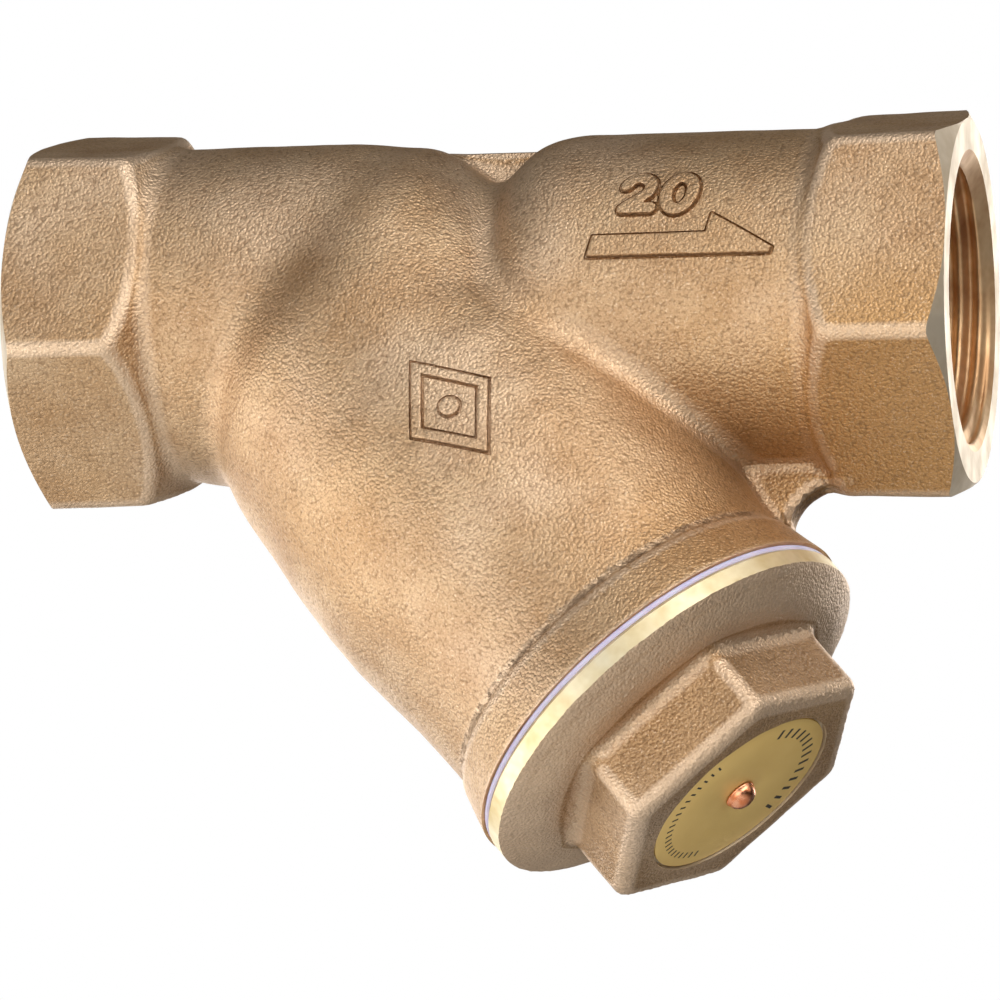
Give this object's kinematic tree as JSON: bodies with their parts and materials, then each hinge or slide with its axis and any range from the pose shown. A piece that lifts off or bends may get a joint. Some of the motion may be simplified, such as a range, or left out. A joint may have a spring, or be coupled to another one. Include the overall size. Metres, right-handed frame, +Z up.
{
  "type": "y strainer",
  "caption": "Small screwed Y-pattern strainer with hexagonal threaded ends, a slanted screen branch and a screwed clean-out cap.",
  "frame": {"origin": "centre of the inlet end face, on the run axis", "axes": "+X along the run from inlet to outlet, the way the flow goes; +Z up, away from the branch; Y = 0 is the plane of symmetry"},
  "size_m": [0.0872, 0.0396, 0.0745],
  "materials": {
    "cast_bronze": "sand-cast, matt, with machined end faces",
    "cap_bronze": "sand-cast, matt, with a turned rim",
    "ptfe": "matt white",
    "stainless_mesh": "bright rolled",
    "label_brass": "satin",
    "copper": "bright"
  },
  "bodies": {
    "housing": {"body": "cast_bronze"},
    "screen_group": {"screen": "stainless_mesh", "cap_gasket": "ptfe"},
    "cap_group": {"cap": "cap_bronze", "label_plate": "label_brass", "label_rivet": "copper"}
  },
  "joints": [
    {"name": "cap_travel", "type": "slide", "parent": "housing", "child": "screen_group", "axis": [0.6626, 0, -0.749], "range_m": [0, 0.0085]},
    {"name": "cap_turn", "type": "hinge", "parent": "screen_group", "child": "cap_group", "pos_m": [0.06089, 0, -0.0382], "axis": [0.6626, 0, -0.749], "range_deg": [0, 2040]}
  ],
  "couplings": [
    {"joint": "cap_travel", "follows": "cap_turn", "m_per_rad": 0.00023873}
  ]
}
